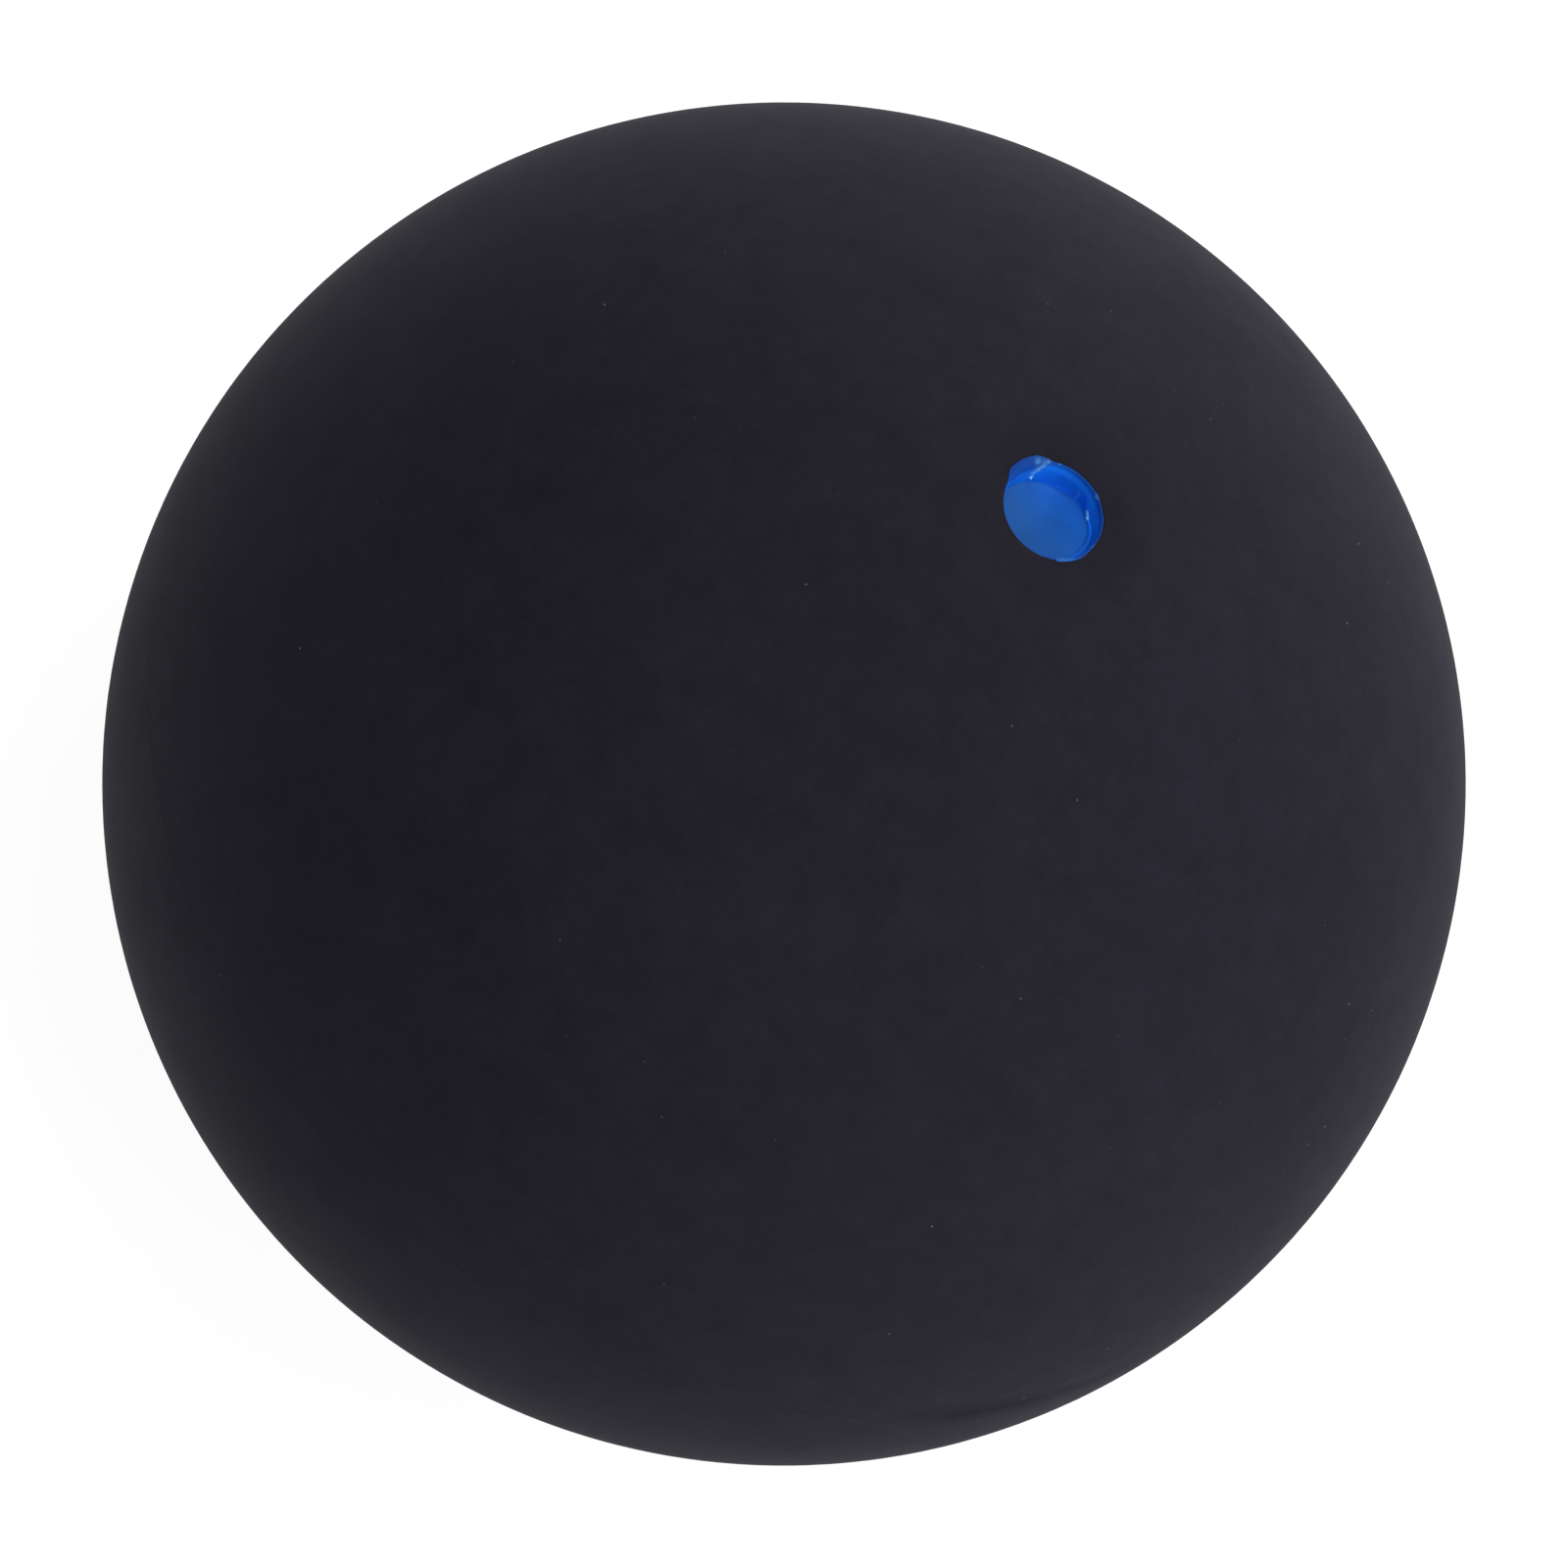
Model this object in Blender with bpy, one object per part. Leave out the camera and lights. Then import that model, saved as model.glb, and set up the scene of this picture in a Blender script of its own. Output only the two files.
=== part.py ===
"""A squash ball: two moulded rubber half-shells cemented along a seam, with one painted speed dot.

Metres, +Z up. The origin is the ball's centre, the seam lies in the XY plane, and the dot is at the top.
Every piece is turned about the Z axis, so its outline is a list of (radius, height) points.
"""

import math

import bmesh
import bpy
from mathutils import Vector

# Ball
BALL_DIAMETER = 0.040
WALL = 0.005

# Seam: joint faces, and the cement between them
CEMENT_FILM = 0.00015
CEMENT_CLEARANCE = 0.00002
CEMENT_BULGE = 0.00015
SEAM_BEVEL = 0.00005
HOLLOW_CHAMFER = 0.0004

# Pit for the speed dot. Its mouth is where the straight wall would meet the ball's surface.
PIT_MOUTH_DIAMETER = 0.00306
PIT_FLOOR_DIAMETER = 0.0029
PIT_DEPTH = 0.0014
PIT_RIM_RADIUS = 0.00008
PIT_CORNER_RADIUS = 0.0002

# Paint of the speed dot
PAINT_WALL_FILM = 0.00008
PAINT_FLOOR_FILM = 0.00015
PAINT_FILLET = 0.0002
PAINT_SETBACK = 0.00003
PAINT_CLEARANCE = 0.00002

# Flat that the ball's own weight presses where it rests
REST_FLAT_DIAMETER = 0.0024

# Facets
TURN_STEPS = 60
ARC_STEP = math.radians(6.0)
FILLET_STEP = math.radians(20.0)
SHARP_EDGE = math.radians(30.0)
WELD = 1e-7

# Finishes: linear red, green and blue, then roughness
RUBBER = ((0.018, 0.016, 0.021), 0.62)
CEMENT = ((0.030, 0.026, 0.022), 0.50)
PAINT = ((0.004, 0.070, 0.450), 0.32)

# Derived sizes
BALL_RADIUS = BALL_DIAMETER / 2
HOLLOW_RADIUS = BALL_RADIUS - WALL
JOINT_HEIGHT = CEMENT_FILM / 2
PIT_FLOOR_HEIGHT = BALL_RADIUS - PIT_DEPTH


def radius_at(sphere_radius, height):
    """Radius of the circle that a sphere about the origin has at a height."""
    return math.sqrt(sphere_radius ** 2 - height ** 2)


def arc(centre, radius, start, end, step):
    """Points along an arc from one angle to another, both ends included."""
    count = max(2, math.ceil(abs(end - start) / step))
    angles = [start + (end - start) * i / count for i in range(count + 1)]
    return [(centre[0] + radius * math.cos(a), centre[1] + radius * math.sin(a)) for a in angles]


def rounded_corner(before, corner, after, radius):
    """Arc that rounds the corner between two straight edges."""
    corner = Vector(corner)
    back = (Vector(before) - corner).normalized()
    ahead = (Vector(after) - corner).normalized()
    half_angle = back.angle(ahead) / 2
    reach = radius / math.tan(half_angle)
    centre = corner + (back + ahead).normalized() * radius / math.sin(half_angle)
    spoke_in = corner + back * reach - centre
    spoke_out = corner + ahead * reach - centre
    start = math.atan2(spoke_in.y, spoke_in.x)
    turn = math.atan2(spoke_in.cross(spoke_out), spoke_in.dot(spoke_out))
    return arc(centre, radius, start, start + turn, FILLET_STEP)


def pit_wall():
    """Foot of the pit's straight wall, its unit direction up the wall, and the normal into the rubber."""
    mouth_radius = PIT_MOUTH_DIAMETER / 2
    foot = Vector((PIT_FLOOR_DIAMETER / 2, PIT_FLOOR_HEIGHT))
    mouth = Vector((mouth_radius, radius_at(BALL_RADIUS, mouth_radius)))
    along = (mouth - foot).normalized()
    return foot, along, Vector((along.y, -along.x))


def pit_rim_centre():
    """Centre of the rim's rounding, and how far up the wall the rounding starts.

    The rounding touches the wall and, from inside, the ball's surface.
    """
    foot, along, into_rubber = pit_wall()
    line_start = foot + into_rubber * PIT_RIM_RADIUS
    middle = line_start.dot(along)
    spare = (BALL_RADIUS - PIT_RIM_RADIUS) ** 2 - line_start.length_squared
    wall_length = math.sqrt(middle ** 2 + spare) - middle
    return line_start + along * wall_length, wall_length


def pit_crown():
    """Crown of the dotted half: pit floor, rounded foot, wall and rounded rim."""
    foot, along, into_rubber = pit_wall()
    centre, wall_length = pit_rim_centre()
    floor_middle = (0.0, PIT_FLOOR_HEIGHT)
    wall_top = foot + along * wall_length
    start = math.atan2(-into_rubber.y, -into_rubber.x)
    end = math.atan2(centre.y, centre.x)
    rim = arc(centre, PIT_RIM_RADIUS, start, end, FILLET_STEP)
    return [floor_middle] + rounded_corner(floor_middle, foot, wall_top, PIT_CORNER_RADIUS) + rim


def rest_crown():
    """Crown of the plain half: the small flat that the ball rests on."""
    flat_radius = REST_FLAT_DIAMETER / 2
    height = radius_at(BALL_RADIUS, flat_radius)
    return [(0.0, height), (flat_radius, height)]


def joint_corners():
    """Outer end, inner end and hollow edge of a half-shell's joint face, for the half above the seam."""
    hollow_edge_height = JOINT_HEIGHT + HOLLOW_CHAMFER
    return [
        (radius_at(BALL_RADIUS, JOINT_HEIGHT) - SEAM_BEVEL, JOINT_HEIGHT),
        (radius_at(HOLLOW_RADIUS, JOINT_HEIGHT) + HOLLOW_CHAMFER, JOINT_HEIGHT),
        (radius_at(HOLLOW_RADIUS, hollow_edge_height), hollow_edge_height),
    ]


def half_shell_outline(crown):
    """Outline of a half-shell above the seam, from its crown down the outside and up the hollow."""
    crown_radius, crown_height = crown[-1]
    outer_start = math.atan2(crown_height, crown_radius)
    outer_end = math.asin((JOINT_HEIGHT + SEAM_BEVEL) / BALL_RADIUS)
    joint = joint_corners()
    hollow_start = math.atan2(joint[-1][1], joint[-1][0])
    outside = arc((0.0, 0.0), BALL_RADIUS, outer_start, outer_end, ARC_STEP)
    hollow = arc((0.0, 0.0), HOLLOW_RADIUS, hollow_start, math.pi / 2, ARC_STEP)
    return crown[:-1] + outside + joint[:-1] + hollow


def cement_outline():
    """Closed outline of the cement: a film between the joint faces, flared and bulging at the hollow."""
    upper = [(radius, height - CEMENT_CLEARANCE) for radius, height in joint_corners()]
    lower = [(radius, -height) for radius, height in reversed(upper)]
    edge_radius, half_width = upper[-1]
    bulge_radius = (half_width ** 2 + CEMENT_BULGE ** 2) / (2 * CEMENT_BULGE)
    centre = (edge_radius + bulge_radius - CEMENT_BULGE, 0.0)
    half_angle = math.asin(half_width / bulge_radius)
    bulge = arc(centre, bulge_radius, math.pi - half_angle, math.pi + half_angle, FILLET_STEP)
    return upper[:-1] + bulge + lower[1:]


def paint_outline():
    """Outline of the paint, heights from the pit's floor: under side, wall, upper edge and pool."""
    foot, along, _ = pit_wall()
    wall_length = pit_rim_centre()[1]
    slope = along.x / along.y

    def beside_wall(height, inset):
        return (foot.x + height * slope - inset / along.y, height)

    top = (wall_length - PAINT_SETBACK) * along.y
    pool = PAINT_CLEARANCE + PAINT_FLOOR_FILM
    film = PAINT_CLEARANCE + PAINT_WALL_FILM
    under_middle = (0.0, PAINT_CLEARANCE)
    under_corner = beside_wall(PAINT_CLEARANCE, PAINT_CLEARANCE)
    outer_edge = beside_wall(top, PAINT_CLEARANCE)
    inner_edge = beside_wall(top, film)
    pool_corner = beside_wall(pool, film)
    pool_middle = (0.0, pool)
    under = rounded_corner(under_middle, under_corner, outer_edge, PIT_CORNER_RADIUS)
    fillet = rounded_corner(inner_edge, pool_corner, pool_middle, PAINT_FILLET)
    return [under_middle] + under + [outer_edge, inner_edge] + fillet + [pool_middle]


def make_material(name, finish):
    """A Principled material of one finish."""
    colour, roughness = finish
    material = bpy.data.materials.new(name)
    material.use_nodes = True
    shader = material.node_tree.nodes["Principled BSDF"]
    shader.inputs["Base Color"].default_value = (*colour, 1.0)
    shader.inputs["Roughness"].default_value = roughness
    shader.inputs["Metallic"].default_value = 0.0
    return material


def turned_piece(name, outline, finish, closed=False):
    """A solid turned from an outline. An open outline starts and ends on the Z axis."""
    work = bmesh.new()
    corners = [work.verts.new((radius, 0.0, height)) for radius, height in outline]
    pairs = list(zip(corners, corners[1:]))
    if closed:
        pairs.append((corners[-1], corners[0]))
    edges = [work.edges.new(pair) for pair in pairs]
    bmesh.ops.spin(work, geom=corners + edges, cent=(0.0, 0.0, 0.0), axis=(0.0, 0.0, 1.0),
                   angle=2 * math.pi, steps=TURN_STEPS, use_merge=True)
    bmesh.ops.remove_doubles(work, verts=work.verts, dist=WELD)
    bmesh.ops.recalc_face_normals(work, faces=work.faces)
    mesh = bpy.data.meshes.new(name)
    work.to_mesh(mesh)
    work.free()
    mesh.shade_smooth()
    mesh.set_sharp_from_angle(angle=SHARP_EDGE)
    mesh.materials.append(make_material(name + "_finish", finish))
    piece = bpy.data.objects.new(name, mesh)
    bpy.context.scene.collection.objects.link(piece)
    return piece


def main():
    for item in list(bpy.data.objects):
        bpy.data.objects.remove(item, do_unlink=True)

    ball = bpy.data.objects.new("squash_ball", None)
    bpy.context.scene.collection.objects.link(ball)
    upper_half = turned_piece("upper_half_shell", half_shell_outline(pit_crown()), RUBBER)
    lower_half = turned_piece("lower_half_shell", half_shell_outline(rest_crown()), RUBBER)
    lower_half.rotation_euler = (math.pi, 0.0, 0.0)
    seam = turned_piece("seam_bond", cement_outline(), CEMENT, closed=True)
    dot = turned_piece("speed_dot", paint_outline(), PAINT)
    dot.location = (0.0, 0.0, PIT_FLOOR_HEIGHT)
    for piece in (upper_half, lower_half, seam, dot):
        piece.parent = ball


if __name__ == "__main__":
    main()
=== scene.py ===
"""Looks of a squash ball: two buffed rubber halves, the cement between them and one painted speed dot.

Metres, +Z up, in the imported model's frame: the origin is the ball's centre and the dot is at the top.
Each piece made here is a ring of outlines round the Z axis, each a list of (radius, height) points.
"""

import math

import bmesh
import bpy
from mathutils import Matrix, Vector, noise


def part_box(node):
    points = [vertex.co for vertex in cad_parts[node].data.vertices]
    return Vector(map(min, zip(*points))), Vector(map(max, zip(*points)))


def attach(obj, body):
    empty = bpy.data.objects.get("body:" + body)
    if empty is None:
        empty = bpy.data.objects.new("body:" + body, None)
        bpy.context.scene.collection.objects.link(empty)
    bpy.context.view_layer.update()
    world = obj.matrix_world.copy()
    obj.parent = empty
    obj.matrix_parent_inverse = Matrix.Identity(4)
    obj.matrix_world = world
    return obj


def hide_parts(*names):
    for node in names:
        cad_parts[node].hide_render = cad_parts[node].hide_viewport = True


MM = 0.001
MICRON = 0.000001

# Ball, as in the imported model
WALL = 5.0 * MM
CEMENT_FILM = 0.15 * MM
HOLLOW_CHAMFER = 0.4 * MM
REST_FLAT_RADIUS = 1.2 * MM

# Seam: buffing leaves a lip of rubber on each half that nearly closes over the cement
SEAM_GAP = 0.004 * MM
SEAM_LIP = 0.04 * MM
SEAM_ROUNDING = 0.004 * MM

# Pit for the dot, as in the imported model
PIT_MOUTH_RADIUS = 1.53 * MM
PIT_FLOOR_RADIUS = 1.45 * MM
PIT_DEPTH = 1.4 * MM
PIT_RIM_RADIUS = 0.08 * MM
PIT_CORNER_RADIUS = 0.2 * MM

# Paint: a pool on the floor, and a film up the wall that thins towards its edge on the rim
PAINT_CLEARANCE = 0.005 * MM
PAINT_POOL = 0.165 * MM
PAINT_FILM = 0.08 * MM
PAINT_FILLET = 0.12 * MM
PAINT_TAPER = 0.4 * MM
PAINT_EDGE = 0.02 * MM
PAINT_EDGE_WANDER = 0.015 * MM
PAINT_EDGE_WAVE = 0.35 * MM
PAINT_REACH = 1.325 * MM

# Length of the thin, darker paint at the film's edge: shares of the rim's length and of the spill's
# The darker band is thin paint over the black rubber, and partly painted shade on the top of the wall.
THIN_RIM_SHARE = 2.5
THIN_SPILL_SHARE = 3.0

# How fast the fillet takes the pool's colour on its way down
POOL_BLEND_POWER = 4

# The pool rises towards +X, from a line across the pit, and the paint on that side's wall is thicker.
# Angles are in degrees round the pit from +X.
POOL_RISE_START = -0.2 * MM
POOL_RISE_SLOPE = 0.45
POOL_RISE_SOFTNESS = 0.3 * MM
THICK_START = -45.0
THICK_END = 78.0
THICK_FADE = 30.0
THICK_FILM = 0.09 * MM
THICK_TAPER = 0.5 * MM

# Where the paint runs further or stops short: degrees where it starts and that the start takes,
# degrees where it ends and that the end takes, extra reach, extra thickness of the edge
RUN_THICKNESS = 0.03 * MM
PAINT_RUNS = (
    (138.0, 24.0, 188.0, 20.0, 0.18 * MM, 0.0),
    (61.0, 10.0, 73.0, 10.0, 0.03 * MM, 0.0),
    (311.0, 4.0, 350.0, 16.0, 0.06 * MM, 0.0),
    (311.0, 4.0, 330.0, 16.0, 0.0, RUN_THICKNESS),
    (215.0, 20.0, 302.0, 14.0, -0.05 * MM, 0.0),
)

# Painted shade on parts of the pit's wall, where its paint is darker: degrees where it starts and where it
# ends, degrees that each end takes, share of the darker colour
PAINTED_WALL_SHADES = (
    (-55.0, 48.0, 40.0, 0.45),
    (148.0, 215.0, 30.0, 0.45),
)

# Beads and ridges of dried paint in the film, their pale colour a painted glint: degrees and reach up the
# wall at one end, the same at the other end, half width, height, paleness
BEADS_AND_PAINTED_GLINTS = (
    (145.3, 0.555 * MM, 145.3, 0.555 * MM, 0.070 * MM, 0.090 * MM, 1.0),
    (147.0, 0.80 * MM, 145.6, 0.89 * MM, 0.085 * MM, 0.060 * MM, 0.38),
    (144.6, 0.95 * MM, 143.6, 1.05 * MM, 0.100 * MM, 0.060 * MM, 0.45),
    (142.0, 1.12 * MM, 139.5, 1.19 * MM, 0.090 * MM, 0.050 * MM, 0.35),
    (148.6, 1.33 * MM, 147.0, 1.34 * MM, 0.075 * MM, 0.012 * MM, 0.16),
    (140.2, 1.30 * MM, 140.2, 1.30 * MM, 0.060 * MM, 0.012 * MM, 0.14),
    (135.2, 1.295 * MM, 135.2, 1.295 * MM, 0.070 * MM, 0.015 * MM, 0.24),
    (121.6, 1.31 * MM, 121.6, 1.31 * MM, 0.045 * MM, 0.010 * MM, 0.14),
    (67.5, 1.29 * MM, 64.5, 1.29 * MM, 0.045 * MM, 0.010 * MM, 0.14),
    (3.0, 1.32 * MM, 3.0, 1.32 * MM, 0.050 * MM, 0.010 * MM, 0.12),
    (58.5, 0.755 * MM, 49.4, 0.725 * MM, 0.040 * MM, 0.025 * MM, 0.90),
    (112.0, 0.32 * MM, 81.0, 0.46 * MM, 0.030 * MM, 0.008 * MM, 0.09),
    (81.0, 0.46 * MM, 83.5, 0.85 * MM, 0.035 * MM, 0.008 * MM, 0.15),
)

# Slight unevenness of the moulded and buffed rubber
RELIEF_HEIGHT = 5.0 * MICRON
RELIEF_SIZE = 4.0 * MM
RELIEF_FADE = 1.0 * MM

# Facets
SEGMENTS = 240
PAINT_SEGMENTS = 600
SPHERE_STEP = math.radians(1.5)
HOLLOW_STEP = math.radians(4.0)
CORNER_STEPS = 12
WALL_STEPS = 6
UNDER_STEPS = 42
FILM_STEPS = 70
POOL_STEPS = 12
SHARP_EDGE = math.radians(35.0)

# In the materials below, a span is the pair of values that a texture or a distance is mapped from.
# Tones are the factors of a colour that it is mapped to, and shares are those of a second colour.
# A speck is full from its middle to a third of its radius.
NOISE_SPAN = (0.3, 0.7)
PATCH_SPAN = (0.35, 0.65)
SPECK_EDGE_TO_CORE = 3

# Rubber. Heights and depths of its fine relief are in units of RUBBER_BUMP.
RUBBER_COLOUR = (0.0115, 0.0107, 0.0155)
RUBBER_ROUGHNESS = 0.85
RUBBER_SHINE = 0.10
RUBBER_SHINE_TINT = (0.70, 0.61, 1.0)
RUBBER_BUMP = 1.2 * MICRON
MOTTLE_SIZE = 9.0 * MM
MOTTLE_TONES = (0.93, 1.07)
BLOTCH_SIZE = 1.3 * MM
BLOTCH_HARSHNESS = 0.85
BLOTCH_TONES = (0.82, 1.18)
GRAIN_SIZE = 0.17 * MM
GRAIN_HARSHNESS = 0.6
GRAIN_TONES = (0.98, 1.02)
SHEEN_SIZE = 3.0 * MM
SHEEN_ROUGHNESS = (-0.02, 0.02)

# Buffing marks: a noise drawn out along Y, its own grid turned out of line with the ball
BUFFING_SIZE = 0.12 * MM
BUFFING_TURN = (0.5, 0.9, 0.3)
BUFFING_SCALE = (1.0, 0.08, 1.0)
BUFFING_ROUGHNESS = (-0.02, 0.02)
BUFFING_HEIGHT = 0.5

# Dark marks on the rubber: a ring at the dot, pinholes, a line along the seam and a smudge on it
GRIME_COLOUR = (0.004, 0.0036, 0.0045)
DOT_RING_PLACE = (0.3 * MM, 0.6 * MM, 20.0 * MM)
DOT_RING_SPAN = (1.6 * MM, 3.0 * MM)
DOT_RING_TONES = (0.78, 1.0)
PINHOLE_SPACING = 1.1 * MM
PINHOLE_RADIUS = 0.07 * MM
PINHOLE_RARITY = 0.55
PINHOLE_SHARE = 0.5
PINHOLE_DEPTH = 6.0
SEAM_LINE_SPAN = (0.09 * MM, 0.01 * MM)
SEAM_LINE_PATCH_SIZE = 2.5 * MM
SEAM_LINE_SHARES = (0.0, 0.06)
SMUDGE_PLACE = (17.6 * MM, -9.3 * MM, 0.0)
SMUDGE_LENGTH_SPAN = (5.0 * MM, 1.5 * MM)
SMUDGE_WIDTH_SPAN = (0.9 * MM, 0.2 * MM)
SMUDGE_SHARES = (0.0, 0.6)
SMUDGE_PATCH_SIZE = 1.5 * MM
SMUDGE_PATCH_SHARES = (0.5, 1.0)
SMUDGE_ROUGHNESS = 0.14

# Dust on the rubber
DUST_COLOUR = (0.30, 0.30, 0.33)
DUST_SPACING = 0.7 * MM
DUST_RADIUS = 0.04 * MM
DUST_RARITY = 0.87
DUST_PATCH_SIZE = 0.5 * MM
DUST_PATCH_SPAN = (0.4, 0.6)
DUST_SHARES = (0.05, 0.5)
DUST_HEIGHT = 4.0

# Paint, with the names of the mesh's values that mix its colours
PAINT_WALL_COLOUR = (0.008, 0.17, 0.78)
# Pool colours from -X and -Y to +X and +Y: the grey is partly a painted reflection, the lighter blue
# partly painted light against the rising side's shade
POOL_PAINT_AND_PAINTED_LIGHT_COLOURS = ((0.019, 0.098, 0.30), (0.0115, 0.113, 0.46))
POOL_FADE_DIRECTION = (0.6, 0.8, 0.0)
POOL_FADE_SPAN = (-0.6 * MM, 0.95 * MM)
THIN_PAINT_AND_SHADE_COLOUR = (0.005, 0.045, 0.25)
PAINT_ROUGHNESS = 0.5
PAINT_SHINE = 0.05
PAINT_BUMP = 3.0 * MICRON
STREAK_SIZE = 0.6 * MM
STREAK_TONES = (0.92, 1.08)
UNEVEN_SIZE = 0.25 * MM
UNEVEN_ROUGHNESS = (-0.06, 0.06)
# Pale colour of the beads: a painted glint, standing in for light reflected off them
PAINTED_GLINT_COLOUR = (0.24, 0.66, 1.0)
BEAD_ROUGHNESS = 0.3
BEAD_COAT_ROUGHNESS = 0.08
BEAD_COAT_IOR = 1.8
BEAD_AND_GLINT_SHARE = "bead_and_painted_glint_share"
POOL_SHARE = "pool_share"
THIN_AND_SHADE_SHARE = "thin_paint_and_painted_shade_share"

# Cement
CEMENT_COLOUR = (0.020, 0.017, 0.015)
CEMENT_PATCH_SIZE = 0.8 * MM
CEMENT_TONES = (0.8, 1.2)
CEMENT_ROUGHNESS = (0.42, 0.60)
CEMENT_BUMP = 10.0 * MICRON

# Camera: the line of sight leans from the dot's axis, and the picture is turned about it
PHOTO_WIDTH = 1600
SILHOUETTE_PIXELS = 695.76
VIEW_LEAN = math.radians(33.36)
VIEW_TURN = math.radians(45.44)
VIEW_DISTANCE = 0.6
CLIP_START = 0.06
SENSOR_WIDTH = 36.0

# Lamps: name, elevation, azimuth (0 is the camera's side, 90 is +X), width, height, watts
LAMP_DISTANCE = 0.5
LAMPS = (
    ("right_low", 15.0, 90.0, 0.28, 0.28, 1.0),
    ("right_front", 38.0, 60.0, 0.28, 0.28, 0.6),
    ("right_top", 62.0, 90.0, 0.28, 0.28, 0.65),
    ("back_strip", 15.0, 198.0, 0.52, 0.28, 1.46),
    ("top", 88.0, 0.0, 0.28, 0.28, 1.22),
)

# Surroundings
WHITE = (1.0, 1.0, 1.0)
AMBIENT = 0.2
BACKDROP = 1.0
FLOOR_SIZE = 30.0
FLOOR_DROP = 10.0 * MICRON
FLOOR_COLOUR = (0.8, 0.8, 0.8)
FLOOR_GLOW = 0.93
FLOOR_SHADOW_SHARE = 0.2


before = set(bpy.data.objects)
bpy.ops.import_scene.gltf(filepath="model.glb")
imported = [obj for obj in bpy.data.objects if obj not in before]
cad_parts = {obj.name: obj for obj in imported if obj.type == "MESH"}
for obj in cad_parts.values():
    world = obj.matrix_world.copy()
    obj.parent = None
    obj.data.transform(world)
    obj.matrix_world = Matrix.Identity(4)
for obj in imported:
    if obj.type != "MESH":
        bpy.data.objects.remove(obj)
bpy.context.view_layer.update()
shell_low, shell_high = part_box("lower_half_shell")

BALL_RADIUS = shell_high.x
REST_HEIGHT = shell_low.z
HOLLOW_RADIUS = BALL_RADIUS - WALL
PIT_FLOOR_HEIGHT = BALL_RADIUS - PIT_DEPTH
PAINT_FLOOR_HEIGHT = PIT_FLOOR_HEIGHT + PAINT_CLEARANCE


def unit(angle):
    return Vector((math.cos(angle), math.sin(angle)))


def arc(centre, radius, start, end, count):
    """Points along an arc from one angle to another, both ends included."""
    return [centre + unit(start + (end - start) * i / count) * radius for i in range(count + 1)]


def centred_arc(radius, start, end, step):
    """Arc about the ball's centre in steps of about the given angle."""
    return arc(Vector((0.0, 0.0)), radius, start, end, math.ceil(abs(end - start) / step))


def line(start, end, count):
    """Points along a straight line, without its first point."""
    return [start.lerp(end, (i + 1) / count) for i in range(count)]


def rounded_corner(before, corner, after, radius):
    """Arc that rounds the corner between two straight edges."""
    back = (before - corner).normalized()
    ahead = (after - corner).normalized()
    half_angle = back.angle(ahead) / 2
    reach = radius / math.tan(half_angle)
    centre = corner + (back + ahead).normalized() * radius / math.sin(half_angle)
    spoke_in = corner + back * reach - centre
    spoke_out = corner + ahead * reach - centre
    start = math.atan2(spoke_in.y, spoke_in.x)
    turn = math.atan2(spoke_in.cross(spoke_out), spoke_in.dot(spoke_out))
    return arc(centre, radius, start, start + turn, CORNER_STEPS)


def on_sphere(radius, height):
    """Point of a sphere's outline at a height."""
    return Vector((math.sqrt(radius ** 2 - height ** 2), height))


class Pit:
    """The pit's outline: a flat floor, a straight tapered wall and a rim rounded into the ball."""

    def __init__(self):
        mouth_height = math.sqrt(BALL_RADIUS ** 2 - PIT_MOUTH_RADIUS ** 2)
        self.foot = Vector((PIT_FLOOR_RADIUS, PIT_FLOOR_HEIGHT))
        self.along = (Vector((PIT_MOUTH_RADIUS, mouth_height)) - self.foot).normalized()
        self.inward = Vector((-self.along.y, self.along.x))
        beside = self.foot - self.inward * PIT_RIM_RADIUS
        middle = beside.dot(self.along)
        spare = (BALL_RADIUS - PIT_RIM_RADIUS) ** 2 - beside.length_squared
        self.wall_length = math.sqrt(middle ** 2 + spare) - middle
        self.rim_centre = beside + self.along * self.wall_length
        self.rim_start = math.atan2(self.inward.y, self.inward.x)
        self.rim_end = math.atan2(self.rim_centre.y, self.rim_centre.x)
        self.rim_length = PIT_RIM_RADIUS * (self.rim_start - self.rim_end)

    def at(self, reach, lift):
        """Point lifted off the pit by a distance.

        The reach goes from the wall's foot up the wall, round the rim and on over the ball.
        """
        past_wall = reach - self.wall_length
        past_rim = past_wall - self.rim_length
        if past_wall <= 0:
            return self.foot + self.along * reach + self.inward * lift
        if past_rim <= 0:
            angle = self.rim_start - past_wall / PIT_RIM_RADIUS
            return self.rim_centre + unit(angle) * (PIT_RIM_RADIUS + lift)
        return unit(self.rim_end - past_rim / BALL_RADIUS) * (BALL_RADIUS + lift)

    def reach_of(self, point):
        """Reach of the wall's point that is beside a point."""
        return (point - self.foot).dot(self.along)


PIT = Pit()


def in_turned_order(sections):
    """Values in a turned mesh's order of points: both ends on the axis, then each section between them."""
    ends = [sections[0][0], sections[0][-1]]
    return ends + [value for section in sections for value in section[1:-1]]


def turned_mesh(name, outlines):
    """A closed solid from one outline for each angle, each of which starts and ends on the Z axis."""
    segments = len(outlines)
    inner = len(outlines[0]) - 2
    sections = []
    for k, outline in enumerate(outlines):
        across = unit(2 * math.pi * k / segments)
        sections.append([(p.x * across.x, p.x * across.y, p.y) for p in outline])
    faces = []
    for k in range(segments):
        here = 2 + k * inner
        there = 2 + (k + 1) % segments * inner
        faces.append((0, here, there))
        faces += [(here + j, here + j + 1, there + j + 1, there + j) for j in range(inner - 1)]
        faces.append((1, there + inner - 1, here + inner - 1))
    mesh = bpy.data.meshes.new(name)
    mesh.from_pydata(in_turned_order(sections), [], faces)
    return mesh


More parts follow.
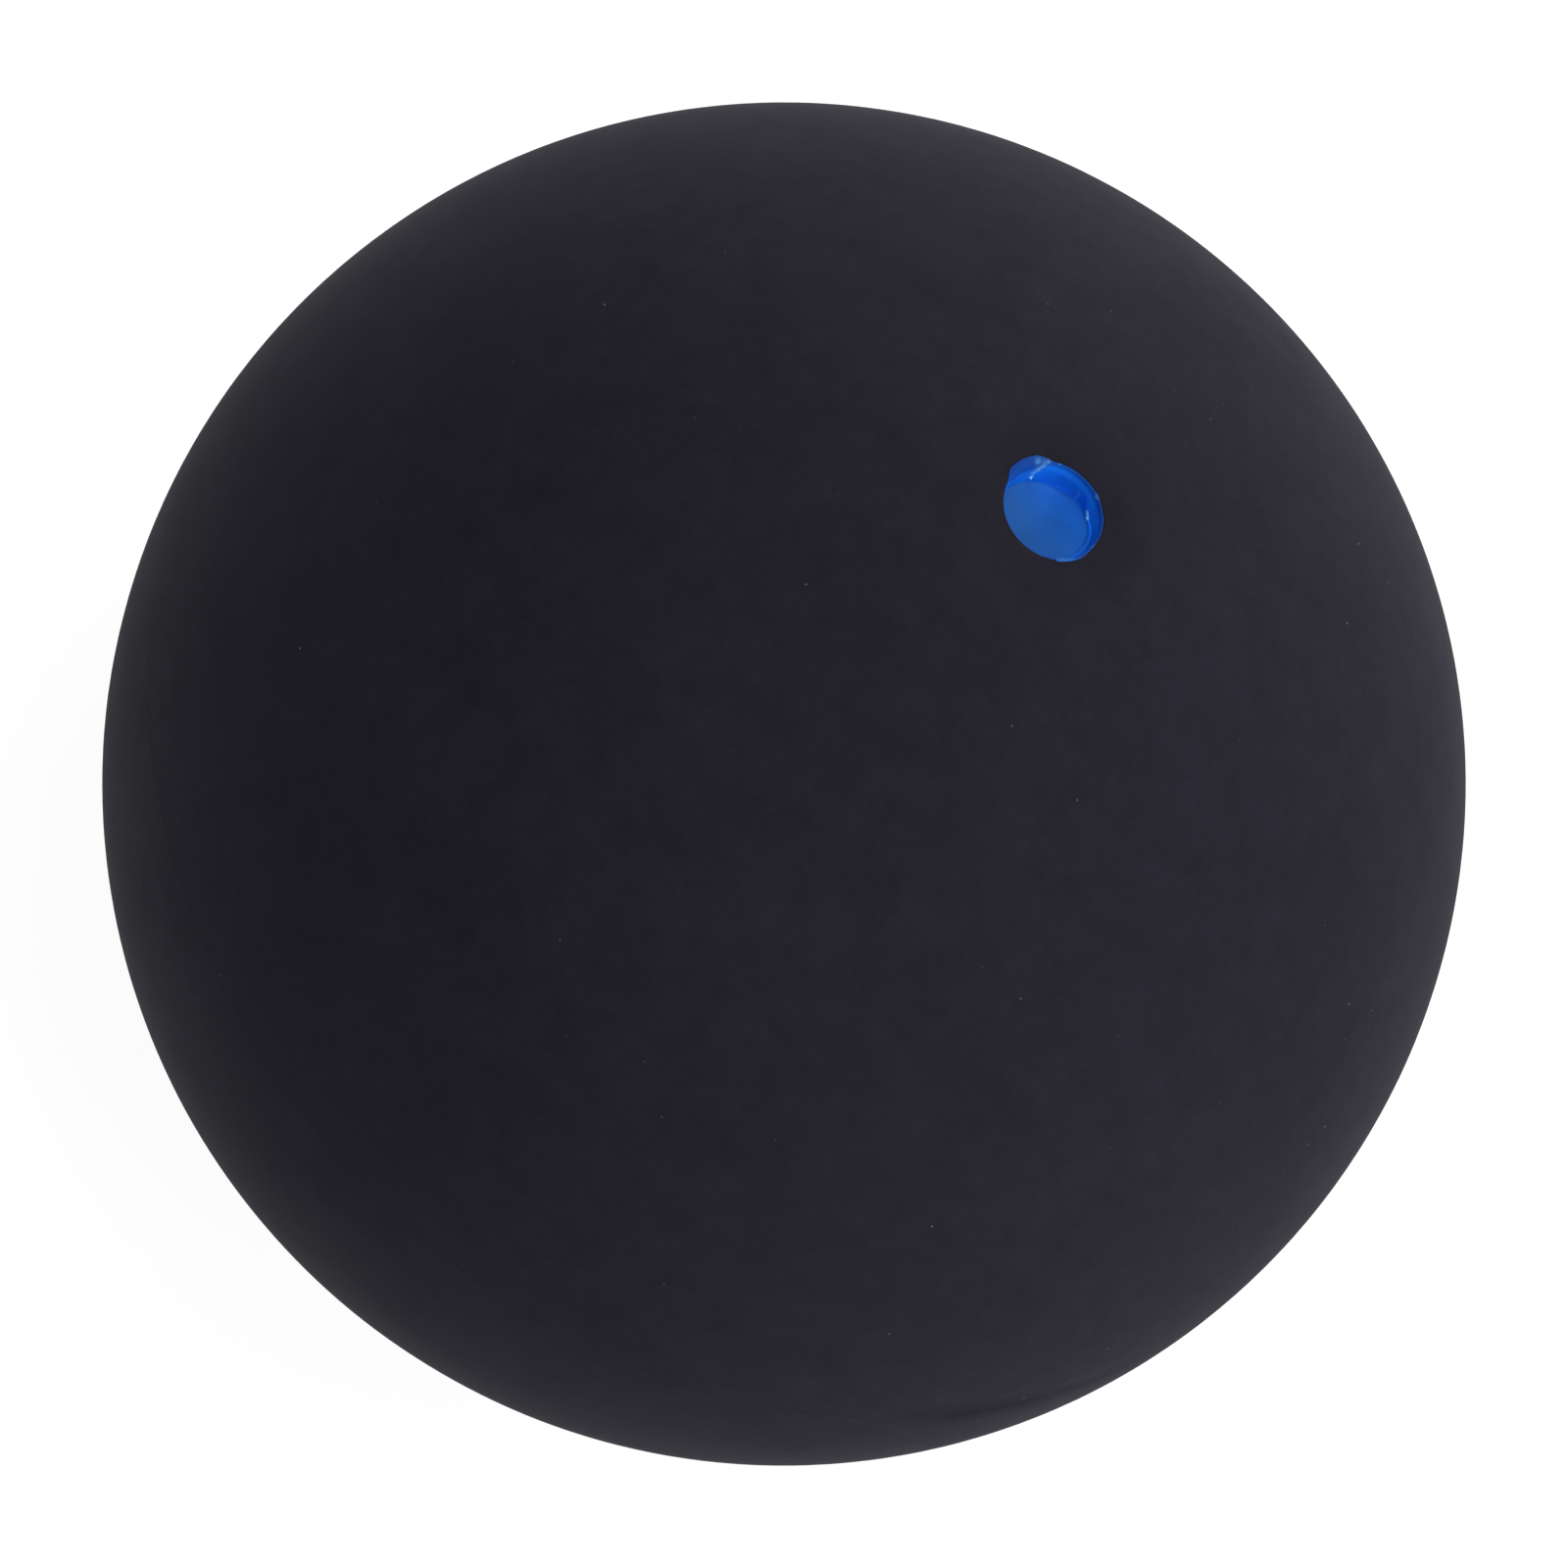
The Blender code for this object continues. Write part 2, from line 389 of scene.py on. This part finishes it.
def add_piece(mesh, material, node):
    """Adds the object of a turned mesh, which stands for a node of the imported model."""
    work = bmesh.new()
    work.from_mesh(mesh)
    bmesh.ops.recalc_face_normals(work, faces=work.faces)
    work.to_mesh(mesh)
    work.free()
    mesh.shade_smooth()
    mesh.set_sharp_from_angle(angle=SHARP_EDGE)
    mesh.materials.append(material)
    piece = bpy.data.objects.new(mesh.name, mesh)
    bpy.context.scene.collection.objects.link(piece)
    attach(piece, "root")
    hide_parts(node)


def pit_crown():
    """Crown of the dotted half: pit floor, rounded foot, wall and rounded rim."""
    floor_middle = Vector((0.0, PIT_FLOOR_HEIGHT))
    wall_top = PIT.at(PIT.wall_length, 0.0)
    foot = rounded_corner(floor_middle, PIT.foot, wall_top, PIT_CORNER_RADIUS)
    wall = line(foot[-1], wall_top, WALL_STEPS)
    rim = arc(PIT.rim_centre, PIT_RIM_RADIUS, PIT.rim_start, PIT.rim_end, CORNER_STEPS)
    return [floor_middle] + foot + wall + rim[1:]


def rest_crown():
    """Crown of the plain half: the small flat that the ball rests on."""
    return [Vector((0.0, -REST_HEIGHT)), Vector((REST_FLAT_RADIUS, -REST_HEIGHT))]


def half_outline(crown):
    """Outline of a half above the seam: crown, outside, lip, joint face and hollow."""
    joint = CEMENT_FILM / 2
    gap = SEAM_GAP / 2
    lip_outer = on_sphere(BALL_RADIUS, gap)
    lip_inner = Vector((BALL_RADIUS - SEAM_LIP, gap))
    lip_start = math.asin((gap + SEAM_ROUNDING * 2) / BALL_RADIUS)
    crown_end = math.atan2(crown[-1].y, crown[-1].x)
    outside = centred_arc(BALL_RADIUS, crown_end, lip_start, SPHERE_STEP)
    lip = rounded_corner(outside[-1], lip_outer, lip_inner, SEAM_ROUNDING)
    hollow_edge = on_sphere(HOLLOW_RADIUS, joint + HOLLOW_CHAMFER)
    joint_outer = Vector((lip_inner.x, joint))
    joint_inner = Vector((hollow_edge.x + HOLLOW_CHAMFER, joint))
    hollow_start = math.atan2(hollow_edge.y, hollow_edge.x)
    hollow = centred_arc(HOLLOW_RADIUS, hollow_start, math.pi / 2, HOLLOW_STEP)
    hollow[-1] = Vector((0.0, HOLLOW_RADIUS))
    return crown[:-1] + outside + lip + [lip_inner, joint_outer, joint_inner] + hollow


def add_relief(mesh, rim_height):
    """Moves the points of the ball's surface by a slight noise, faded out at the rim and the seam."""
    for vertex in mesh.vertices:
        from_surface = abs(vertex.co.length - BALL_RADIUS)
        if from_surface > MICRON:
            continue
        clear = min(abs(vertex.co.z), rim_height - vertex.co.z) / RELIEF_FADE
        fade = max(0.0, min(1.0, clear))
        height = RELIEF_HEIGHT * fade * noise.noise(vertex.co / RELIEF_SIZE)
        vertex.co *= 1 + height / BALL_RADIUS


def make_halves(material):
    upper = half_outline(pit_crown())
    upper_mesh = turned_mesh("upper_half_skin", [upper] * SEGMENTS)
    rim_height = PIT.rim_centre.y + PIT_RIM_RADIUS * math.sin(PIT.rim_end)
    add_relief(upper_mesh, rim_height)
    add_piece(upper_mesh, material, "upper_half_shell")
    lower = [Vector((p.x, -p.y)) for p in half_outline(rest_crown())]
    lower_mesh = turned_mesh("lower_half_skin", [lower] * SEGMENTS)
    add_relief(lower_mesh, BALL_RADIUS)
    add_piece(lower_mesh, material, "lower_half_shell")


def turn_between(angle, other):
    """Signed difference of two angles in degrees, from -180 to 180."""
    return (angle - other + 180.0) % 360.0 - 180.0


def smooth(value):
    """An even rise from 0 to 1 as the value goes from 0 to 1."""
    held = max(0.0, min(1.0, value))
    return held * held * (3.0 - 2.0 * held)


def paint_end(degrees):
    """Reach of the paint at an angle round the pit, and its edge's thickness.

    Each start and end of a run is centred on its angle.
    """
    around = Vector((*unit(math.radians(degrees)), 0.0)) * PIT_MOUTH_RADIUS / PAINT_EDGE_WAVE
    reach = PAINT_REACH + PAINT_EDGE_WANDER * noise.noise(around)
    edge = PAINT_EDGE
    for start, start_fade, end, end_fade, extra_reach, extra_edge in PAINT_RUNS:
        started = smooth(0.5 + turn_between(degrees, start) / start_fade)
        ended = smooth(0.5 + turn_between(degrees, end) / end_fade)
        share = started * (1.0 - ended)
        reach += extra_reach * share
        edge += extra_edge * share
    return reach, edge


def thick_side(degrees):
    """Share of the thicker paint at an angle round the pit."""
    turn = turn_between(degrees, 0.0)
    return smooth((turn - THICK_START) / THICK_FADE) * smooth((THICK_END - turn) / THICK_FADE)


def painted_wall_shade(degrees):
    """Share of the painted shade on the wall at an angle round the pit."""
    total = 0.0
    for start, end, fade, share in PAINTED_WALL_SHADES:
        past_start = turn_between(degrees, start)
        total += share * smooth(past_start / fade) * smooth((end - start - past_start) / fade)
    return total


def pool_rise(across):
    """How far the pool has risen at a distance along X."""
    past_start = across - POOL_RISE_START
    return POOL_RISE_SLOPE * (past_start + math.hypot(past_start, POOL_RISE_SOFTNESS)) / 2


def distance_from(bead, degrees, reach):
    """Distance of a point of the film from a bead or ridge, in its half widths."""
    start_angle, start_reach, end_angle, end_reach, half_width, *_ = bead
    degree_length = math.radians(1.0) * (PIT_FLOOR_RADIUS + reach * PIT.along.x)
    here = Vector((turn_between(degrees, start_angle) * degree_length, reach - start_reach))
    run = Vector((turn_between(end_angle, start_angle) * degree_length, end_reach - start_reach))
    share = 0.0
    if run.length > 0:
        share = max(0.0, min(1.0, here.dot(run) / run.length_squared))
    return (here - run * share).length / half_width


def bead_at(degrees, reach):
    """Height and paleness, a painted glint, of the beads and ridges at a point of the film."""
    height = 0.0
    paleness = 0.0
    for bead in BEADS_AND_PAINTED_GLINTS:
        fade = math.exp(-distance_from(bead, degrees, reach) ** 2)
        height = max(height, bead[-2] * fade)
        paleness = max(paleness, bead[-1] * fade)
    return height, paleness


class PaintSection:
    """The paint at an angle round the pit.

    A row is a point, and the beads' painted glint, the pool's share and the share of thin paint and
    painted wall shade there.
    """

    def __init__(self, angle):
        self.angle = angle
        self.degrees = math.degrees(angle)
        self.end, self.edge = paint_end(self.degrees)
        thick = thick_side(self.degrees)
        self.film = PAINT_FILM + THICK_FILM * thick
        self.taper = PAINT_TAPER + THICK_TAPER * thick
        # Painted shade: a darker colour on parts of the wall stands in for shade.
        self.dark = painted_wall_shade(self.degrees)
        self.run = min(1.0, (self.edge - PAINT_EDGE) / RUN_THICKNESS)
        spill = max(0.0, self.end - PAINT_REACH - PAINT_EDGE_WANDER)
        self.thin_length = THIN_RIM_SHARE * PIT.rim_length + THIN_SPILL_SHARE * spill

    def rows(self):
        """The section from axis to axis: under side, film from its edge down, fillet and pool."""
        fillet = self.fillet()
        under = [(point, 0.0, 0.0, 0.0) for point in self.under_side()]
        film = self.film_rows(PIT.reach_of(fillet[0]))
        return under + film + self.fillet_rows(fillet) + self.pool_rows(fillet[-1])

    def thickness(self, reach):
        """Thickness of the film at a reach up the wall, rounded off at its edge."""
        from_end = self.end - reach
        body = self.edge + (self.film - self.edge) * smooth(from_end / self.taper)
        rounding = max(0.0, 1.0 - from_end / self.edge)
        return (body + bead_at(self.degrees, reach)[0]) * math.sqrt(1.0 - rounding ** 2)

    def pool_point(self, radius):
        """Point of the pool's surface at a radius."""
        rise = pool_rise(radius * math.cos(self.angle))
        return Vector((radius, PAINT_FLOOR_HEIGHT + PAINT_POOL + rise))

    def under_side(self):
        """Points from the axis along the pit's floor and up its wall to the film's edge."""
        middle = Vector((0.0, PAINT_FLOOR_HEIGHT))
        corner = PIT.at(PAINT_CLEARANCE / PIT.along.y, PAINT_CLEARANCE)
        wall_top = PIT.at(PIT.wall_length, PAINT_CLEARANCE)
        foot = rounded_corner(middle, corner, wall_top, PIT_CORNER_RADIUS)
        start = PIT.reach_of(foot[-1])
        reaches = [start + (self.end - start) * i / UNDER_STEPS for i in range(1, UNDER_STEPS + 1)]
        return [middle] + foot + [PIT.at(reach, PAINT_CLEARANCE) for reach in reaches]

    def fillet(self):
        """Arc from the film on the wall into the pool."""
        lift = PAINT_CLEARANCE + self.film
        pool_edge = self.pool_point(PIT_FLOOR_RADIUS - lift)
        corner_reach = (pool_edge.y - PIT_FLOOR_HEIGHT - lift * PIT.inward.y) / PIT.along.y
        corner = PIT.at(corner_reach, lift)
        wall_top = PIT.at(PIT.wall_length, lift)
        return rounded_corner(wall_top, corner, self.pool_point(corner.x - PAINT_FILLET), PAINT_FILLET)

    def film_rows(self, start):
        """Rows of the film from its edge down to a reach, closer together near the edge."""
        rows = []
        for i in range(FILM_STEPS - 1, 0, -1):
            reach = start + (self.end - start) * math.sin(math.pi / 2 * i / FILM_STEPS)
            thin = smooth((reach - PIT.wall_length - PIT.rim_length) / self.thin_length + 1.0)
            over_rim = smooth((reach - PIT.wall_length) / PIT.rim_length + 0.5)
            point = PIT.at(reach, PAINT_CLEARANCE + self.thickness(reach))
            # The beads' paleness is a painted glint.
            paleness = bead_at(self.degrees, reach)[1]
            # The last share mixes thin paint with painted shade on the wall.
            rows.append((point, paleness, self.run * over_rim, (1.0 - self.run) * max(thin, self.dark)))
        return rows

    def fillet_rows(self, fillet):
        """Rows of the fillet, raised where a bead or ridge crosses it."""
        outward = (PIT.inward + Vector((0.0, 1.0))).normalized()
        rows = []
        for i, point in enumerate(fillet):
            # Paleness is a painted glint.
            height, paleness = bead_at(self.degrees, PIT.reach_of(point))
            pool_share = 1.0 - (1.0 - i / CORNER_STEPS) ** POOL_BLEND_POWER
            # The last share is painted shade on the wall, fading out into the pool.
            rows.append((point + outward * height, paleness, pool_share, (1.0 - pool_share) * self.dark))
        return rows

    def pool_rows(self, start):
        """Rows of the pool from the fillet's end to the axis, eased from there onto its surface."""
        step_off = start.y - self.pool_point(start.x).y
        rows = []
        for i in range(1, POOL_STEPS + 1):
            left = 1.0 - i / POOL_STEPS
            point = self.pool_point(start.x * left) + Vector((0.0, step_off * left))
            rows.append((point, 0.0, 1.0, 0.0))
        return rows


def make_paint(material):
    sections = [PaintSection(2 * math.pi * k / PAINT_SEGMENTS).rows() for k in range(PAINT_SEGMENTS)]
    mesh = turned_mesh("speed_dot_paint", [[point for point, *_ in section] for section in sections])
    shares = list(zip(*in_turned_order(sections)))[1:]
    for name, values in zip((BEAD_AND_GLINT_SHARE, POOL_SHARE, THIN_AND_SHADE_SHARE), shares):
        mesh.attributes.new(name, "FLOAT", "POINT").data.foreach_set("value", values)
    add_piece(mesh, material, "speed_dot")


class Nodes:
    """Short forms for building a material's node tree."""

    def __init__(self, tree):
        self.tree = tree

    def add(self, kind, values=None, **settings):
        node = self.tree.nodes.new("ShaderNode" + kind)
        for name, value in settings.items():
            setattr(node, name, value)
        self.feed(node, values or {})
        return node

    def feed(self, node, values):
        """Links a node's inputs to outputs of other nodes, or sets their values."""
        for name, value in values.items():
            if isinstance(value, bpy.types.NodeSocket):
                self.tree.links.new(value, node.inputs[name])
            else:
                node.inputs[name].default_value = value

    def math(self, operation, first, second=0.0, clamp=False):
        return self.add("Math", {0: first, 1: second}, operation=operation, use_clamp=clamp).outputs[0]

    def plus(self, first, second, clamp=False):
        return self.math("ADD", first, second, clamp)

    def times(self, first, second):
        return self.math("MULTIPLY", first, second)

    def distance(self, place, point):
        return self.add("VectorMath", {0: place, 1: point}, operation="DISTANCE").outputs["Value"]

    def noise(self, place, size, detail, harshness=0.5):
        values = {"Vector": place, "Scale": 1.0 / size, "Detail": detail, "Roughness": harshness}
        return self.add("TexNoise", values).outputs["Fac"]

    def ramp(self, value, span, results=(0.0, 1.0)):
        """A value's span mapped to a pair of results, and held at its ends."""
        values = {"Value": value, "From Min": span[0], "From Max": span[1]}
        values.update({"To Min": results[0], "To Max": results[1]})
        return self.add("MapRange", values).outputs["Result"]

    def mix_numbers(self, share, first, second):
        return self.add("Mix", {0: share, 2: first, 3: second}).outputs[0]

    def mix(self, share, first, second):
        """A mix of two colours, which are on a Mix node's inputs 6 and 7 and output 2."""
        return self.add("Mix", {0: share, 6: first, 7: second}, data_type="RGBA").outputs[2]

    def scaled(self, colour, factor):
        return self.add("VectorMath", {0: colour, "Scale": factor}, operation="SCALE").outputs[0]

    def specks(self, place, spacing, radius, rarity):
        """1 at small specks scattered in space, fading to 0 at their edge.

        The rarity is the share of them that is left out.
        """
        cells = self.add("TexVoronoi", {"Vector": place, "Scale": 1.0 / spacing})
        red = self.add("SeparateColor", {"Color": cells.outputs["Color"]}).outputs["Red"]
        kept = self.math("GREATER_THAN", red, rarity)
        edge = radius / spacing
        spot = self.ramp(cells.outputs["Distance"], (edge, edge / SPECK_EDGE_TO_CORE))
        return self.times(spot, kept)

    def bump(self, height, distance):
        """The normal of a surface with a fine relief."""
        values = {"Height": height, "Strength": 1.0, "Distance": distance}
        return self.add("Bump", values).outputs["Normal"]


def opaque(colour):
    return (*colour, 1.0)


def new_material(name):
    """A material with its node builder and its Principled shader."""
    material = bpy.data.materials.new(name)
    material.use_nodes = True
    return material, Nodes(material.node_tree), material.node_tree.nodes["Principled BSDF"]


def rubber_tone(nodes, place, grain):
    """Factor of the rubber's colour: soft mottling, blotches, fine grain and a darker ring round the dot.
    """
    mottle = nodes.ramp(nodes.noise(place, MOTTLE_SIZE, detail=2.0), NOISE_SPAN, MOTTLE_TONES)
    blotch_noise = nodes.noise(place, BLOTCH_SIZE, detail=4.0, harshness=BLOTCH_HARSHNESS)
    blotch = nodes.ramp(blotch_noise, NOISE_SPAN, BLOTCH_TONES)
    grain_tone = nodes.ramp(grain, NOISE_SPAN, GRAIN_TONES)
    ring = nodes.ramp(nodes.distance(place, DOT_RING_PLACE), DOT_RING_SPAN, DOT_RING_TONES)
    return nodes.times(nodes.times(mottle, blotch), nodes.times(grain_tone, ring))


def seam_line(nodes, place, from_seam):
    """Share of the dark line along the seam, which comes and goes."""
    near = nodes.ramp(from_seam, SEAM_LINE_SPAN)
    patches = nodes.noise(place, SEAM_LINE_PATCH_SIZE, detail=2.0)
    return nodes.times(near, nodes.ramp(patches, PATCH_SPAN, SEAM_LINE_SHARES))


def seam_smudge(nodes, place, from_seam):
    """Share of the dark smudge on the seam."""
    along = nodes.ramp(nodes.distance(place, SMUDGE_PLACE), SMUDGE_LENGTH_SPAN, SMUDGE_SHARES)
    across = nodes.ramp(from_seam, SMUDGE_WIDTH_SPAN)
    patches = nodes.noise(place, SMUDGE_PATCH_SIZE, detail=2.0)
    return nodes.times(nodes.times(along, across), nodes.ramp(patches, PATCH_SPAN, SMUDGE_PATCH_SHARES))


def rubber_material():
    """Buffed black rubber with buffing marks, pinholes, dust and grime."""
    material, nodes, shader = new_material("buffed_rubber")
    place = nodes.add("TexCoord").outputs["Object"]
    height = nodes.add("SeparateXYZ", {"Vector": place}).outputs["Z"]
    from_seam = nodes.math("ABSOLUTE", height)
    grain = nodes.noise(place, GRAIN_SIZE, detail=3.0, harshness=GRAIN_HARSHNESS)
    sheen = nodes.noise(place, SHEEN_SIZE, detail=2.0)
    turned = nodes.add("Mapping", {"Vector": place, "Rotation": BUFFING_TURN, "Scale": BUFFING_SCALE})
    marks = nodes.noise(turned.outputs["Vector"], BUFFING_SIZE, detail=2.0)
    pinholes = nodes.specks(place, PINHOLE_SPACING, PINHOLE_RADIUS, PINHOLE_RARITY)
    smudge = seam_smudge(nodes, place, from_seam)
    dust = nodes.specks(place, DUST_SPACING, DUST_RADIUS, DUST_RARITY)
    dust_patches = nodes.noise(place, DUST_PATCH_SIZE, detail=1.0)
    dust_share = nodes.times(dust, nodes.ramp(dust_patches, DUST_PATCH_SPAN, DUST_SHARES))

    colour = nodes.scaled(RUBBER_COLOUR, rubber_tone(nodes, place, grain))
    colour = nodes.mix(nodes.times(pinholes, PINHOLE_SHARE), colour, opaque(GRIME_COLOUR))
    colour = nodes.mix(seam_line(nodes, place, from_seam), colour, opaque(GRIME_COLOUR))
    colour = nodes.mix(smudge, colour, opaque(GRIME_COLOUR))
    colour = nodes.mix(dust_share, colour, opaque(DUST_COLOUR))

    rough = nodes.plus(nodes.ramp(marks, NOISE_SPAN, BUFFING_ROUGHNESS), RUBBER_ROUGHNESS)
    rough = nodes.plus(rough, nodes.ramp(sheen, NOISE_SPAN, SHEEN_ROUGHNESS))
    rough = nodes.plus(rough, nodes.times(smudge, SMUDGE_ROUGHNESS), clamp=True)

    relief = nodes.plus(grain, nodes.times(marks, BUFFING_HEIGHT))
    relief = nodes.math("SUBTRACT", relief, nodes.times(pinholes, PINHOLE_DEPTH))
    relief = nodes.plus(relief, nodes.times(dust, DUST_HEIGHT))

    nodes.feed(shader, {
        "Base Color": colour,
        "Roughness": rough,
        "Normal": nodes.bump(relief, RUBBER_BUMP),
        "Specular IOR Level": RUBBER_SHINE,
        "Specular Tint": opaque(RUBBER_SHINE_TINT),
    })
    return material


def paint_material():
    """Blue paint, a little greyer where it pools and darker where it is thin, with glossy beads.

    The pool's grey is partly a painted reflection, and its lighter blue on the rising side partly painted
    light.
    Parts of the wall have painted shade, and the beads' pale colour is a painted glint.
    """
    material, nodes, shader = new_material("dot_paint")
    place = nodes.add("TexCoord").outputs["Object"]
    beads = nodes.add("Attribute", attribute_name=BEAD_AND_GLINT_SHARE).outputs["Fac"]
    pool = nodes.add("Attribute", attribute_name=POOL_SHARE).outputs["Fac"]
    # The thin share also carries the painted shade on the wall.
    thin = nodes.add("Attribute", attribute_name=THIN_AND_SHADE_SHARE).outputs["Fac"]
    streaks = nodes.noise(place, STREAK_SIZE, detail=3.0)
    uneven = nodes.noise(place, UNEVEN_SIZE, detail=3.0)

    # The pool's grey towards -X and -Y is partly a painted reflection, and its lighter blue towards +X and
    # +Y partly painted light.
    across = nodes.add("VectorMath", {0: place, 1: POOL_FADE_DIRECTION}, operation="DOT_PRODUCT")
    faded = nodes.ramp(across.outputs["Value"], POOL_FADE_SPAN)
    pool_colour = nodes.mix(faded, *[opaque(colour) for colour in POOL_PAINT_AND_PAINTED_LIGHT_COLOURS])
    colour = nodes.mix(pool, opaque(PAINT_WALL_COLOUR), pool_colour)
    # Darker for thin paint over the rubber, and painted shade on parts of the wall.
    colour = nodes.mix(thin, colour, opaque(THIN_PAINT_AND_SHADE_COLOUR))
    # The beads' pale colour is a painted glint.
    colour = nodes.mix(beads, colour, opaque(PAINTED_GLINT_COLOUR))
    colour = nodes.scaled(colour, nodes.ramp(streaks, NOISE_SPAN, STREAK_TONES))
    rough = nodes.plus(nodes.ramp(uneven, NOISE_SPAN, UNEVEN_ROUGHNESS), PAINT_ROUGHNESS)

    nodes.feed(shader, {
        "Base Color": colour,
        "Roughness": nodes.mix_numbers(beads, rough, BEAD_ROUGHNESS),
        "Normal": nodes.bump(uneven, PAINT_BUMP),
        "Specular IOR Level": PAINT_SHINE,
        "Coat Weight": nodes.times(beads, beads),
        "Coat Roughness": BEAD_COAT_ROUGHNESS,
        "Coat IOR": BEAD_COAT_IOR,
    })
    return material


def cement_material():
    """Cured rubber cement, satin and a little uneven."""
    material, nodes, shader = new_material("cured_cement")
    place = nodes.add("TexCoord").outputs["Object"]
    patches = nodes.noise(place, CEMENT_PATCH_SIZE, detail=3.0)
    nodes.feed(shader, {
        "Base Color": nodes.scaled(CEMENT_COLOUR, nodes.ramp(patches, NOISE_SPAN, CEMENT_TONES)),
        "Roughness": nodes.ramp(patches, NOISE_SPAN, CEMENT_ROUGHNESS),
        "Normal": nodes.bump(patches, CEMENT_BUMP),
    })
    return material


def dress_seam(material):
    """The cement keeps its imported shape, with its own finish."""
    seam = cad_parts["seam_bond"]
    seam.data.materials.clear()
    seam.data.materials.append(material)


def seen_directly(nodes):
    """1 for rays that show the surroundings: from the camera, by reflection or through glass."""
    path = nodes.add("LightPath")
    shown = nodes.plus(path.outputs["Is Camera Ray"], path.outputs["Is Glossy Ray"])
    return nodes.plus(shown, path.outputs["Is Transmission Ray"], clamp=True)


def floor_material():
    """Pale card for the light it sends to the ball, and white with a faint shadow where it is seen."""
    material, nodes, shader = new_material("white_floor")
    material.cycles.emission_sampling = "NONE"
    material.node_tree.nodes.remove(shader)
    card = nodes.add("BsdfDiffuse", {"Color": opaque(FLOOR_COLOUR)}).outputs[0]
    glow = nodes.add("Emission", {"Strength": FLOOR_GLOW / (1 - FLOOR_SHADOW_SHARE)}).outputs[0]
    white = nodes.add("MixShader", {0: FLOOR_SHADOW_SHARE, 1: glow, 2: card}).outputs[0]
    surface = nodes.add("MixShader", {0: seen_directly(nodes), 1: card, 2: white}).outputs[0]
    nodes.feed(material.node_tree.nodes["Material Output"], {"Surface": surface})
    return material


def make_floor(material):
    half = FLOOR_SIZE / 2
    outline = ((-half, -half), (half, -half), (half, half), (-half, half))
    mesh = bpy.data.meshes.new("floor")
    mesh.from_pydata([(x, y, REST_HEIGHT - FLOOR_DROP) for x, y in outline], [], [(0, 1, 2, 3)])
    mesh.materials.append(material)
    floor = bpy.data.objects.new("floor", mesh)
    bpy.context.scene.collection.objects.link(floor)


def make_world():
    """Even soft light, and a white backdrop where the surroundings are seen."""
    world = bpy.data.worlds.new("studio")
    world.use_nodes = True
    world.cycles.sampling_method = "NONE"
    bpy.context.scene.world = world
    nodes = Nodes(world.node_tree)
    light = world.node_tree.nodes["Background"]
    nodes.feed(light, {"Color": opaque(WHITE), "Strength": AMBIENT})
    backdrop = nodes.add("Background", {"Color": opaque(WHITE), "Strength": BACKDROP})
    both = nodes.add("MixShader", {0: seen_directly(nodes), 1: light.outputs[0], 2: backdrop.outputs[0]})
    nodes.feed(world.node_tree.nodes["World Output"], {"Surface": both.outputs[0]})


def make_lamps():
    """Soft oval lamps round the ball, each facing its centre."""
    for name, elevation, azimuth, width, height, watts in LAMPS:
        rise = math.radians(elevation)
        turn = math.radians(azimuth)
        level = Vector((math.sin(turn), -math.cos(turn), 0.0))
        outward = level * math.cos(rise) + Vector((0.0, 0.0, math.sin(rise)))
        data = bpy.data.lights.new(name, "AREA")
        data.shape = "ELLIPSE"
        data.size = width
        data.size_y = height
        data.energy = watts
        lamp = bpy.data.objects.new(name, data)
        lamp.location = outward * LAMP_DISTANCE
        lamp.rotation_euler = outward.to_track_quat("Z", "Y").to_euler()
        lamp.visible_camera = False
        bpy.context.scene.collection.objects.link(lamp)


def make_camera():
    """The photograph's view: the ball fills the frame, with the dot up and to the right."""
    back = Vector((0.0, -math.sin(VIEW_LEAN), math.cos(VIEW_LEAN)))
    past_dot = Vector((0.0, math.cos(VIEW_LEAN), math.sin(VIEW_LEAN)))
    side = Vector((1.0, 0.0, 0.0))
    right = past_dot * math.cos(VIEW_TURN) + side * math.sin(VIEW_TURN)
    up = past_dot * math.sin(VIEW_TURN) - side * math.cos(VIEW_TURN)
    tangent = math.sqrt(VIEW_DISTANCE ** 2 - BALL_RADIUS ** 2)
    data = bpy.data.cameras.new("camera")
    data.sensor_width = SENSOR_WIDTH
    data.lens = SENSOR_WIDTH / PHOTO_WIDTH * SILHOUETTE_PIXELS * tangent / BALL_RADIUS
    data.clip_start = CLIP_START
    camera = bpy.data.objects.new("camera", data)
    turned = Matrix((right, up, back)).transposed().to_4x4()
    camera.matrix_world = Matrix.Translation(back * VIEW_DISTANCE) @ turned
    bpy.context.scene.collection.objects.link(camera)
    bpy.context.scene.camera = camera


def main():
    bpy.context.scene.view_settings.view_transform = "Standard"
    make_camera()
    make_lamps()
    make_world()
    make_floor(floor_material())
    make_halves(rubber_material())
    make_paint(paint_material())
    dress_seam(cement_material())


main()
